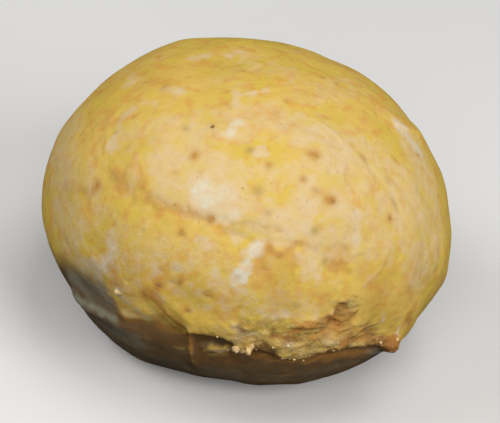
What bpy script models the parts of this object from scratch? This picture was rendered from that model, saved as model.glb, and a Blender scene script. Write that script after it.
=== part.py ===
"""A round whole wheat bread roll, as one solid that rests on its flat baked base.

Metres, +Z up. The origin is on the table under the middle of the roll, and the front, where
the crust has folded and torn along its lower rim, faces -Y. Places on the roll are given as an
azimuth from the front towards +X and an elevation above the widest ring, both in degrees and
seen from the middle of that ring. Sizes of the relief are in millimetres.
"""

import math
from collections import namedtuple

import bmesh
import bpy
from mathutils import Vector, noise

MM = 0.001

# Driving dimensions.
WIDTH = 82 * MM  # left to right, at the widest ring
DEPTH = 79 * MM  # front to back
CROWN_RISE = 33 * MM  # from the widest ring up to the crown
UNDERSIDE_DROP = 29.5 * MM  # from the widest ring down to where the underside would close
RING_HEIGHT = 24.5 * MM  # the widest ring above the table
DOME_SQUARENESS = 2.15  # 2 is an ellipse, and more is fuller in the shoulders
UNDERSIDE_SQUARENESS = 2.3
BASE_ROUNDING = 0.9 * MM  # how softly the underside turns into the flat base

# The mesh, a cube of square cells blown up to a ball.
CELLS_PER_SIDE = 31
CROWDING = 0.36  # how far the cells crowd towards the torn front, which has the finest shape
CROWD_AZIMUTH, CROWD_ELEVATION = 5, -5

CRUST_COLOUR = (0.66, 0.45, 0.16, 1)
CRUST_ROUGHNESS = 0.75

Flat = namedtuple("Flat", "azimuth elevation shave")
Mark = namedtuple("Mark", "azimuth elevation length width turn height")
Crease = namedtuple("Crease", "path width height")
RimPoint = namedtuple("RimPoint", "azimuth elevation step")

# Where the proving dough was pressed flat: the way each flat faces, and how much it takes off.
FLATS = (
    Flat(116, 34, 0.9),
    Flat(149, 54, 0.9),
    Flat(-111, 29, 0.5),
    Flat(-71, -27, 1.2),
    Flat(74, -22, 0.3),
    Flat(-20, 52, 0.5),
    Flat(28, 30, 0.4),
    Flat(-160, 20, 0.7),
)
FLAT_EDGE = 1.4  # rounding where two flats meet
SAME_SIDE = 0.35  # the cosine past which a flat or mark is too far round to touch the crust

# Broad swells and hollows, then the small ones of the torn front. length and width are half
# sizes, and turn is how far the length leans up from level.
SWELLS = (
    Mark(-44, -38, 10, 8, -20, 0.8),
    Mark(64, -36, 8, 7, 15, 0.7),
    Mark(133, 47, 6, 5, 0, 0.8),
    Mark(-133, 47, 5, 5, 0, 1.0),
    Mark(80, -4, 12, 9, 0, 0.8),
    Mark(-150, 62, 7, 5, 30, 0.7),
    Mark(150, -8, 16, 9, 10, 0.6),
    Mark(-120, -14, 12, 8, -15, 0.7),
)
DENTS = (
    Mark(-42, -6.6, 6.0, 2.8, -14, -2.2),  # the hollow under the fold at the front left
    Mark(-14.5, -8, 3.4, 2.0, -14, -1.1),
    Mark(-2.2, -8.6, 3.9, 2.7, 0, -2.2),  # the window torn in the rim
    Mark(29.3, 3.0, 2.0, 1.5, 20, -1.0),
    Mark(31, 7.4, 1.9, 1.3, 60, -0.7),
    Mark(18.5, 0.6, 2.4, 1.3, 15, -0.7),
    Mark(41, -3, 2.4, 1.5, 10, -0.7),
    Mark(10, -1.5, 2.6, 1.5, -10, -0.6),
)
LUMPS = (
    Mark(-24, -1.5, 3.2, 2.4, -10, 1.1),  # the lobe beside the hollow
    Mark(-1.8, -10, 2.9, 1.1, 2, 1.2),  # the strand across the window
    Mark(4.6, -5.4, 1.7, 1.6, 0, 1.1),  # the crumb clump at the window's right
    Mark(21.4, 3.4, 2.1, 1.5, 20, 0.8),
    Mark(29.5, -2.6, 2.2, 1.5, -10, 0.6),
    Mark(36, 0.5, 2.4, 1.5, 10, 0.7),
    Mark(52, -11.5, 2.0, 2.2, 0, 2.2),  # the browned nub
)
CREASES = (
    Crease(((-53, -13), (-46, -16), (-38, -13), (-28, -11)), 1.9, 1.2),  # the pale roll of dough
    Crease(((-35, -2), (-32, -6), (-30.5, -10)), 1.1, -0.8),
    Crease(((-9, -3), (-8.2, -10), (-7, -20)), 1.1, 1.0),  # the thin web beside the window
    Crease(((-29.5, -10), (-23, -8), (-17, -4)), 1.2, -0.8),
    Crease(((-41, 28), (-26, 26.5), (-10, 29), (0, 26), (17, 27), (31, 19)), 2.6, -0.4),
    Crease(((-62, 41), (-48, 47), (-38, 52), (-20, 54)), 3.0, 0.35),
    Crease(((98, 37), (94, 42), (92, 46)), 2.6, 0.7),
    Crease(((60, 8), (66, 0), (70, -12)), 2.4, -0.5),
    Crease(((72, 12), (78, 2), (82, -10)), 2.6, 0.4),
    Crease(((112, -22), (128, -10), (150, -12), (168, -20)), 2.8, -0.7),
    Crease(((-92, -18), (-112, -9), (-130, -13)), 2.8, -0.7),
    Crease(((-140, 30), (-155, 38), (-178, 36), (160, 28)), 2.8, -0.4),
)

# The rim, below which the crust steps in to the paler underside. It is clear-cut and ragged
# across the front, and only a soft shoulder round the back.
RIM = (
    RimPoint(-180, -14, 0.35),
    RimPoint(-130, -15, 0.4),
    RimPoint(-90, -14, 0.6),
    RimPoint(-62, -10, 0.9),
    RimPoint(-53, -5, 0.9),
    RimPoint(-43.5, -0.8, 1.0),
    RimPoint(-36, -1.5, 0.7),
    RimPoint(-30, 1, 0.5),
    RimPoint(-22, 3.6, 1.1),
    RimPoint(-12.5, -2.2, 1.5),
    RimPoint(-7, -3, 1.6),
    RimPoint(1, -3, 1.6),
    RimPoint(5, -5, 1.6),
    RimPoint(13, -7, 1.4),
    RimPoint(21.5, -8, 1.2),
    RimPoint(29, -5.8, 1.0),
    RimPoint(36, -6.5, 1.0),
    RimPoint(45, -8, 0.9),
    RimPoint(52, -12, 0.8),
    RimPoint(75, -16, 0.5),
    RimPoint(110, -17, 0.4),
    RimPoint(150, -15, 0.35),
    RimPoint(180, -14, 0.35),
)
RIM_DROP = 1.5  # height over which the step is taken
LIP_HEIGHT, LIP_WIDTH = 0.5, 1.6  # the crust swells a little just above its torn edge
STEP_GONE, STEP_WHOLE = -62, -32  # elevations between which the step fades into the base
RAGGED_FROM, RAGGED_TO = 2, 56  # azimuths of the ragged stretch
RAGGED_EASE = 6
RAGGED_REACH = 0.9
RAGGED_GRAIN = 3.4

# Unevenness of the whole skin: the size of the waves, and how far they reach in and out.
WAVES = ((15.0, 0.55), (6.0, 0.22), (3.4, 0.08))
WAVE_SEED = Vector((7.3, 2.1, 4.7))

# The closing pinch under the roll, where the dough was gathered.
PINCH_RADIUS, PINCH_DEPTH = 9.0, 1.1
PINCH_FOLDS, FOLD_DEPTH = 7, 0.25

MIDDLE_REACH = 40.0  # a mean distance from the middle to the crust, which turns angles to mm


def smooth_step(value):
    value = min(max(value, 0.0), 1.0)
    return value * value * (3 - 2 * value)


def smooth_min(first, second, rounding):
    near = max(rounding - abs(first - second), 0.0) / rounding
    return min(first, second) - near * near * rounding / 4


def direction(azimuth, elevation):
    turn, tilt = math.radians(azimuth), math.radians(elevation)
    level = math.cos(tilt)
    return Vector((math.sin(turn) * level, -math.cos(turn) * level, math.sin(tilt)))


def half_body(upward):
    """The rise or drop of this half in mm, and its squareness."""
    if upward:
        return CROWN_RISE / MM, DOME_SQUARENESS
    return UNDERSIDE_DROP / MM, UNDERSIDE_SQUARENESS


def body_reach(way):
    """How far the plain body reaches from the middle along a unit vector, in mm."""
    height, power = half_body(way.z > 0)
    level = math.hypot(2 * way.x / (WIDTH / MM), 2 * way.y / (DEPTH / MM))
    return (level**power + (abs(way.z) / height) ** power) ** (-1 / power)


def body_support(normal):
    """How far a plane with this normal stands from the middle when it touches the body, in mm."""
    height, power = half_body(normal.z > 0)
    dual = power / (power - 1)
    level = math.hypot(normal.x * WIDTH / MM / 2, normal.y * DEPTH / MM / 2)
    return (level**dual + (abs(normal.z) * height) ** dual) ** (1 / dual)


def flattened(way, reach):
    """The reach after each pressed flat has taken off what stood beyond its plane."""
    for flat in FLATS:
        normal = direction(flat.azimuth, flat.elevation)
        facing = way.dot(normal)
        if facing > SAME_SIDE:
            plane = (body_support(normal) - flat.shave) / facing
            reach = smooth_min(reach, plane, FLAT_EDGE)
    return reach


def mark_height(way, mark):
    """A rounded swell or hollow, longer one way than the other."""
    middle = direction(mark.azimuth, mark.elevation)
    if way.dot(middle) < SAME_SIDE:
        return 0.0
    east = Vector((math.cos(math.radians(mark.azimuth)), math.sin(math.radians(mark.azimuth)), 0))
    north = middle.cross(east)
    across, up = way.dot(east) * MIDDLE_REACH, way.dot(north) * MIDDLE_REACH
    lean = math.radians(mark.turn)
    along = across * math.cos(lean) + up * math.sin(lean)
    aside = up * math.cos(lean) - across * math.sin(lean)
    return mark.height * math.exp(-((along / mark.length) ** 2) - (aside / mark.width) ** 2)


def distance_to_path(way, path):
    """The distance in mm, over the crust, from a place to a line through the path's points."""
    nearest = math.inf
    for start, end in zip(path, path[1:]):
        first, last = direction(*start), direction(*end)
        run = last - first
        share = min(max((way - first).dot(run) / run.length_squared, 0.0), 1.0)
        nearest = min(nearest, (way - first - run * share).length)
    return nearest * MIDDLE_REACH


def crease_height(way, crease):
    return crease.height * math.exp(-((distance_to_path(way, crease.path) / crease.width) ** 2))


def rim_at(azimuth):
    """The rim's elevation and step at an azimuth, eased between the named points."""
    for first, last in zip(RIM, RIM[1:]):
        if azimuth <= last.azimuth:
            share = smooth_step((azimuth - first.azimuth) / (last.azimuth - first.azimuth))
            elevation = first.elevation + (last.elevation - first.elevation) * share
            return elevation, first.step + (last.step - first.step) * share
    return RIM[-1].elevation, RIM[-1].step


def rim_height(way):
    """The swollen lip above the rim, and the step in below it."""
    azimuth = math.degrees(math.atan2(way.x, -way.y))
    elevation = math.degrees(math.asin(way.z))
    rim, step = rim_at(azimuth)
    below = math.radians(rim - elevation) * MIDDLE_REACH
    ragged = smooth_step((azimuth - RAGGED_FROM) / RAGGED_EASE)
    ragged *= smooth_step((RAGGED_TO - azimuth) / RAGGED_EASE)
    below += ragged * RAGGED_REACH * noise.noise(way * MIDDLE_REACH / RAGGED_GRAIN)
    lip = LIP_HEIGHT * step * math.exp(-(((below + LIP_WIDTH) / LIP_WIDTH) ** 2))
    inset = smooth_step(below / RIM_DROP)
    fade = smooth_step((elevation - STEP_GONE) / (STEP_WHOLE - STEP_GONE))
    return (lip - step * inset) * fade


def wave_height(way):
    total = 0.0
    for size, reach in WAVES:
        total += reach * noise.noise(way * (MIDDLE_REACH / size) + WAVE_SEED)
    return total


def crust_reach(way):
    """How far the finished crust reaches from the middle of the widest ring, in mm."""
    reach = flattened(way, body_reach(way))
    reach += sum(mark_height(way, mark) for mark in SWELLS + DENTS + LUMPS)
    reach += sum(crease_height(way, crease) for crease in CREASES)
    return reach + rim_height(way) + wave_height(way)


def seated(height):
    """The height in metres once the underside has flattened on the tray, 0 over the base."""
    if height > BASE_ROUNDING:
        return height
    if height < -BASE_ROUNDING:
        return 0.0
    return (height + BASE_ROUNDING) ** 2 / (4 * BASE_ROUNDING)


def pinch_height(place):
    """How far the gathered dough stands off the tray near the middle of the base, in metres."""
    out = math.hypot(place.x, place.y) / MM / PINCH_RADIUS
    if out >= 1:
        return 0.0
    fold = 1 - FOLD_DEPTH + FOLD_DEPTH * math.cos(PINCH_FOLDS * math.atan2(place.y, place.x))
    return PINCH_DEPTH * MM * fold * (1 - smooth_step(out))


def crust_point(way):
    place = way * crust_reach(way) * MM
    place.z = seated(place.z + RING_HEIGHT)
    if way.z < 0:
        place.z += pinch_height(place)
    return place


def ball_directions(ball):
    """Turns the cube of cells into unit vectors that crowd towards the torn front."""
    focus = direction(CROWD_AZIMUTH, CROWD_ELEVATION) * CROWDING
    for vertex in ball.verts:
        even = Vector([math.tan(part * math.pi / 4) for part in vertex.co]).normalized()
        vertex.co = (even + focus).normalized()


def crust_mesh():
    ball = bmesh.new()
    bmesh.ops.create_cube(ball, size=2)
    bmesh.ops.subdivide_edges(ball, edges=ball.edges, cuts=CELLS_PER_SIDE - 1, use_grid_fill=True)
    ball_directions(ball)
    for vertex in ball.verts:
        vertex.co = crust_point(vertex.co.copy())
    centre_over_origin(ball)
    mesh = bpy.data.meshes.new("bread_roll")
    ball.to_mesh(mesh)
    ball.free()
    mesh.shade_smooth()
    return mesh


def centre_over_origin(ball):
    """Moves the roll level, so that the middle of its box stands over the origin."""
    across = [vertex.co.x for vertex in ball.verts]
    deep = [vertex.co.y for vertex in ball.verts]
    middle = Vector((max(across) + min(across), max(deep) + min(deep), 0)) / 2
    bmesh.ops.translate(ball, verts=ball.verts, vec=-middle)


def crust_material():
    material = bpy.data.materials.new("crust")
    material.use_nodes = True
    shader = material.node_tree.nodes["Principled BSDF"]
    shader.inputs["Base Color"].default_value = CRUST_COLOUR
    shader.inputs["Roughness"].default_value = CRUST_ROUGHNESS
    shader.inputs["Metallic"].default_value = 0.0
    return material


def clear_scene():
    for thing in list(bpy.data.objects):
        bpy.data.objects.remove(thing)


def main():
    clear_scene()
    roll = bpy.data.objects.new("bread_roll", crust_mesh())
    roll.data.materials.append(crust_material())
    bpy.context.scene.collection.objects.link(roll)


main()
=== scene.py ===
"""The looks of a round whole wheat bread roll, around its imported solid.

The crust is a fine skin laid over the solid and sculpted: floury film, folds, the torn and
crumbly rim, wrinkles and pores. Bran flakes and crumbs are pieces of their own, set on it.
Places on the roll are given as an azimuth from the front, -Y, towards +X, and an elevation, both
in degrees and seen from the middle of the widest ring. Sizes on the skin are in millimetres.
"""

import math
from collections import namedtuple

import bpy
import numpy as np
from mathutils import Matrix, Vector, noise
from mathutils.bvhtree import BVHTree


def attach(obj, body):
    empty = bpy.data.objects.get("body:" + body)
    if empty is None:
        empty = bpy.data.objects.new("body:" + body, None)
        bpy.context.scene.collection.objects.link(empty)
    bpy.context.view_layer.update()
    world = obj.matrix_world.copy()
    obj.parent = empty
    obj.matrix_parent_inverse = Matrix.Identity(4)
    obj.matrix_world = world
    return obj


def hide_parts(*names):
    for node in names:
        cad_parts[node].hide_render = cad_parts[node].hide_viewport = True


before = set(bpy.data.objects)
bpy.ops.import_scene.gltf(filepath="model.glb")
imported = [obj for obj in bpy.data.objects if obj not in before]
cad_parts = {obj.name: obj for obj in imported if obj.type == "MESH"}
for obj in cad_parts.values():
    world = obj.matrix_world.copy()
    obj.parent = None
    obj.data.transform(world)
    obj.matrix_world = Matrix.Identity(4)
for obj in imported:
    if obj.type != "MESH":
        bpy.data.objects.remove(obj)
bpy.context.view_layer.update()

MM = 0.001
RING_MIDDLE = Vector((-0.28, 0.54, 24.5)) * MM  # the middle of the roll's widest ring
MIDDLE_REACH = 40.0  # mean distance from there to the crust, which turns angles to mm

# The skin, a cube of square cells blown up to a ball.
CELLS_PER_SIDE = 127
CROWDING = 0.42  # how far the cells crowd towards the front, which has the finest shape
CROWD_AZIMUTH, CROWD_ELEVATION = 10, -2
EASING_ROUNDS = 20  # takes the solid's flat faces out of the skin
BEND_ROUNDS = 240  # wears the solid's rim down to the soft bend of SOFT_BEND
MOST_UNEVEN = 1.2  # of a painted stroke's edge, in mm
MARK_HORIZON = 0.4  # a mark ends where the cosine of the angle from its middle is this
BASE_MARGIN = 2.5  # relief fades out within this height above the base

Mark = namedtuple("Mark", "azimuth elevation length width strength turn", defaults=(0,))
Stroke = namedtuple("Stroke", "path width edge strength")
Crease = namedtuple("Crease", "path width strength")
Flake = namedtuple("Flake", "azimuth elevation size tone")
Crumb = namedtuple("Crumb", "azimuth elevation size paleness")
Noise = namedtuple("Noise", "size reach seed")  # its bumps' size in mm

EDGE_NOISE = (Noise(2.4, 1.0, 5.5), Noise(1.1, 0.5, 6.5))  # of all painted edges
FILM_NOISE = (Noise(7.5, 1.0, 21.0), Noise(2.6, 0.5, 22.0))
LEAST_FILM, FILM_RANGE = -0.08, 0.22
SKIN_EDGE_WOBBLE = 0.35
RAGGED_EDGE = Noise(1.6, 0.7, 3.7)  # of the rim where it is sharp
LIP_RISE, LIP_WIDTH = 0.3, 0.6
LIP_DROOP, DROOP_WIDTH = 0.4, 0.75
WAVES = (
    Noise(9.0, 0.14, 11.3), Noise(4.0, 0.075, 12.3),
    Noise(2.0, 0.04, 13.3), Noise(1.1, 0.018, 14.3),
)
PORES = Noise(1.7, 0.35, 22.6)
PORES_FROM = 0.34
KNOBS, KNOBS_SINK = Noise(2.0, 0.9, 33.9), 0.21
GRIT = Noise(1.0, 0.2, 45.2)
TORN_STRETCH = (1.6, 1.6, 0.8)  # the torn crumb lies in level streaks
# A hollow is darkened to deep brown there as painted shade.
HOLLOW_ROUNDS, HOLLOW_GAIN = 8, 4  # what counts as a hollow, for its colour

# The torn rim, as in the solid: azimuth, elevation and how sharply the crust breaks off there.
RIM = (
    (-180, -14, 0.0), (-130, -15, 0.0), (-90, -14, 0.0), (-62, -10, 0.05), (-53, -5, 0.0),
    (-43.5, -0.8, 0.0), (-36, -1.5, 0.05), (-30, 1, 0.05), (-22, 3.6, 0.05), (-12.5, -2.2, 0.25),
    (-7, -3, 0.9), (1, -3, 0.9), (5, -5, 1.0), (13, -7, 1.0), (21.5, -8, 1.0), (29, -5.8, 0.9),
    (36, -6.5, 0.8), (45, -8, 0.7), (52, -12, 0.6), (75, -16, 0.1), (110, -17, 0.0),
    (180, -14, 0.0),
)

# Where the golden skin gives way to the dark underside: azimuth, elevation, and over how many mm.
SKIN_EDGE = (
    (-180, -15, 10.0), (-90, -13, 9.0), (-62, -8, 6.0), (-53, -3.2, 8.0), (-47, -1.8, 8.0),
    (-42, -0.4, 7.0), (-37.5, -0.6, 5.0), (-34.4, -3.4, 3.0), (-31.4, -7.4, 2.0),
    (-28, -8.6, 1.6), (-24, -7.4, 2.2), (-19.6, -6.6, 3.0), (-16.8, -6.8, 3.0),
    (-13.6, -7.4, 2.0), (-11.6, -6.8, 1.0), (-9.4, -3.6, 0.6), (-2.5, -2.8, 0.6),
    (2.3, -4.6, 0.6), (5, -6.6, 0.6), (8, -4.2, 0.8), (12.4, -4.6, 0.8), (16, -7.0, 0.7),
    (21.5, -8.2, 0.6), (29, -6.0, 0.6), (36, -6.8, 0.7), (45, -8.4, 0.7), (52, -12.6, 0.7),
    (60, -15, 2.4), (75, -17, 6.0), (110, -16, 10.0), (180, -15, 10.0),
)


def smooth_step(value):
    value = np.clip(value, 0.0, 1.0)
    return value * value * (3 - 2 * value)


def direction(azimuth, elevation):
    turn, tilt = math.radians(azimuth), math.radians(elevation)
    level = math.cos(tilt)
    return np.array((math.sin(turn) * level, -math.cos(turn) * level, math.sin(tilt)))


def azimuth_of(ways):
    return np.degrees(np.arctan2(ways[:, 0], -ways[:, 1]))


def elevation_of(ways):
    return np.degrees(np.arcsin(ways[:, 2]))


def rough(ways, kind, stretch=(1, 1, 1)):
    """One kind of smooth noise at each place, from about minus its reach to its reach."""
    places = ways * (MIDDLE_REACH / kind.size) / np.array(stretch) + kind.seed
    return kind.reach * np.array([noise.noise(place) for place in places.tolist()])


def distance_to_path(ways, path):
    """The distance in mm, over the crust, from each place to a line through the path's points."""
    nearest = np.full(len(ways), np.inf)
    points = [direction(*place) for place in path]
    for first, last in zip(points, points[1:]):
        run = last - first
        share = np.clip((ways - first) @ run / (run @ run), 0, 1)
        on_path = first + share[:, None] * run
        on_path /= np.linalg.norm(on_path, axis=1)[:, None]
        nearest = np.minimum(nearest, np.linalg.norm(ways - on_path, axis=1))
    return nearest * MIDDLE_REACH


def marked(ways, marks):
    """The sum of rounded marks, each longer one way than the other."""
    total = np.zeros(len(ways))
    for mark in marks:
        middle = direction(mark.azimuth, mark.elevation)
        turn = math.radians(mark.azimuth)
        east = np.array((math.cos(turn), math.sin(turn), 0))
        north = np.cross(east, middle) * -1
        across, up = ways @ east * MIDDLE_REACH, ways @ north * MIDDLE_REACH
        lean = math.radians(mark.turn)
        along = across * math.cos(lean) + up * math.sin(lean)
        aside = up * math.cos(lean) - across * math.sin(lean)
        near = np.exp(-((along / mark.length) ** 2) - (aside / mark.width) ** 2)
        total += mark.strength * near * (ways @ middle > MARK_HORIZON)
    return total


def creased(ways, creases):
    """The sum of thin ridges, or of grooves where the strength is below 0."""
    total = np.zeros(len(ways))
    for crease in creases:
        away = distance_to_path(ways, crease.path) / crease.width
        total += crease.strength * np.exp(-(away**2))
    return total


def painted(ways, strokes, wobble):
    """The strongest of several strokes at each place. The wobble makes their edges uneven."""
    strongest = np.zeros(len(ways))
    for stroke in strokes:
        uneven = wobble * min(stroke.edge, MOST_UNEVEN)
        inside = stroke.width - distance_to_path(ways, stroke.path) + uneven
        strongest = np.maximum(strongest, stroke.strength * smooth_step(inside / stroke.edge + 0.5))
    return strongest


# ---- The skin: what shows on it, by place ----

# Hollows and lumps of the torn front, finer than in the solid: length and width are half sizes.
FINE_MARKS = (
    Mark(29.3, 3.1, 1.1, 0.9, -0.7, 20),  # the deepest pit among the crags
    Mark(30.2, 6.4, 0.7, 0.6, -0.4),
    Mark(31.7, 7.9, 0.7, 0.6, -0.35),
    Mark(24.6, 3.4, 0.8, 0.6, -0.3, 10),
    Mark(18.6, 1.6, 0.9, 0.6, -0.35, 20),
    Mark(13.6, -0.6, 0.9, 0.6, -0.3),
    Mark(16.2, -1.2, 0.7, 0.5, -0.3),
    Mark(4.1, 1.3, 0.8, 1.3, -0.3),
    Mark(21.4, 3.8, 1.7, 0.8, 0.45, 10),  # the orange lump
    Mark(28.4, 5.6, 0.5, 1.2, 0.4, 20),
    Mark(33, 4.6, 1.1, 0.9, 0.35),
    Mark(29.4, -2.6, 1.7, 0.9, 0.4, -10),
    Mark(37.5, -1.6, 1.2, 0.8, 0.3),
    Mark(44, -1.5, 1, 1.5, 0.3, 20),
    Mark(3.9, -3.8, 0.8, 0.9, 0.6),  # the crumb clump at the window's right
    Mark(4.6, -6.3, 0.9, 0.9, 0.6),
    Mark(6.8, -4.4, 0.8, 0.8, 0.5),
    Mark(10.6, -7, 2.3, 1.3, -1.3, -10),  # the dark hole beside it
    Mark(-2.6, -7.2, 3, 0.8, 0.5),
    Mark(-42, -4, 6, 2.6, 0.8, -12),  # the hollow at the front left is softer than in the solid
    Mark(-34.8, -3.6, 0.9, 0.8, 0.3),
)
FINE_CREASES = (
    Crease(((-9.4, -2.6), (-8.8, -8), (-8, -13)), 0.42, 0.7),  # the thin web
    Crease(((-8, -13), (-7.2, -18), (-6.8, -22)), 0.4, 0.2),
    Crease(((-5.6, -10), (-2.7, -10.5), (2.2, -9)), 0.6, 0.75),  # the strand in the window
    Crease(((-22.6, 6.4), (-19.9, 3.6), (-17.2, 0.6), (-12.8, -1.2), (-9.2, -2)), 0.8, 0.05),
    Crease(((-34.4, -3.8), (-32.4, -6), (-31, -9.6)), 0.7, -0.15),
    Crease(((-31, -8.2), (-27, -7), (-23.4, -5.8)), 0.9, 0.22),
    Crease(((-30.4, -10.2), (-25, -8.6), (-20, -7.4)), 0.9, -0.12),
    Crease(((-52, -15), (-46, -16.6), (-38, -12.6), (-30, -10.8)), 1.2, 0.3),
    # the crown's fold, where the upper skin ends
    Crease(((-39.5, 28.2), (-28, 28.9), (-18, 29.2), (-10, 28.4), (-2.5, 26.8)), 0.9, -0.1),
    Crease(((-2.5, 26.8), (4.6, 25.4), (11, 26.4), (17.8, 25.6), (24.8, 22.3), (31.9, 17.3)), 0.5, -0.1),
    # wrinkles of the crown and of the right side
    Crease(((-57, 31), (-68, 36), (-71, 42), (-63, 50)), 0.5, 0.12),
    Crease(((-16, 56), (-31, 70), (6, 78.6), (73, 76)), 0.5, 0.12),
    Crease(((22, 62), (31, 65.5), (40, 64.4), (47, 54.3)), 0.5, 0.12),
    Crease(((96, 37), (91.5, 41), (88, 46)), 0.7, 0.45),
    Crease(((35, 22), (42, 22.8), (48, 21.4), (44, 16.5), (37, 13)), 0.5, 0.14),
    Crease(((52, 44), (55, 34), (56, 24)), 0.9, -0.14),
    Crease(((60, 38), (63, 26), (62, 14)), 1, -0.14),
    Crease(((48, 30), (50, 20), (49, 9)), 0.9, -0.12),
    Crease(((70, 30), (73, 18), (70, 6)), 1.1, -0.16),
)

# Where the upper skin lies over the lower one, and how thick it is there.
UPPER_SKIN = (
    Stroke(((-34, 36), (-20, 40), (-4, 40), (12, 40), (25, 34)), 6.8, 1.1, 0.13),
    Stroke(((-14, 50), (6, 54), (26, 48)), 7, 1.2, 0.13),
)

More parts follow.
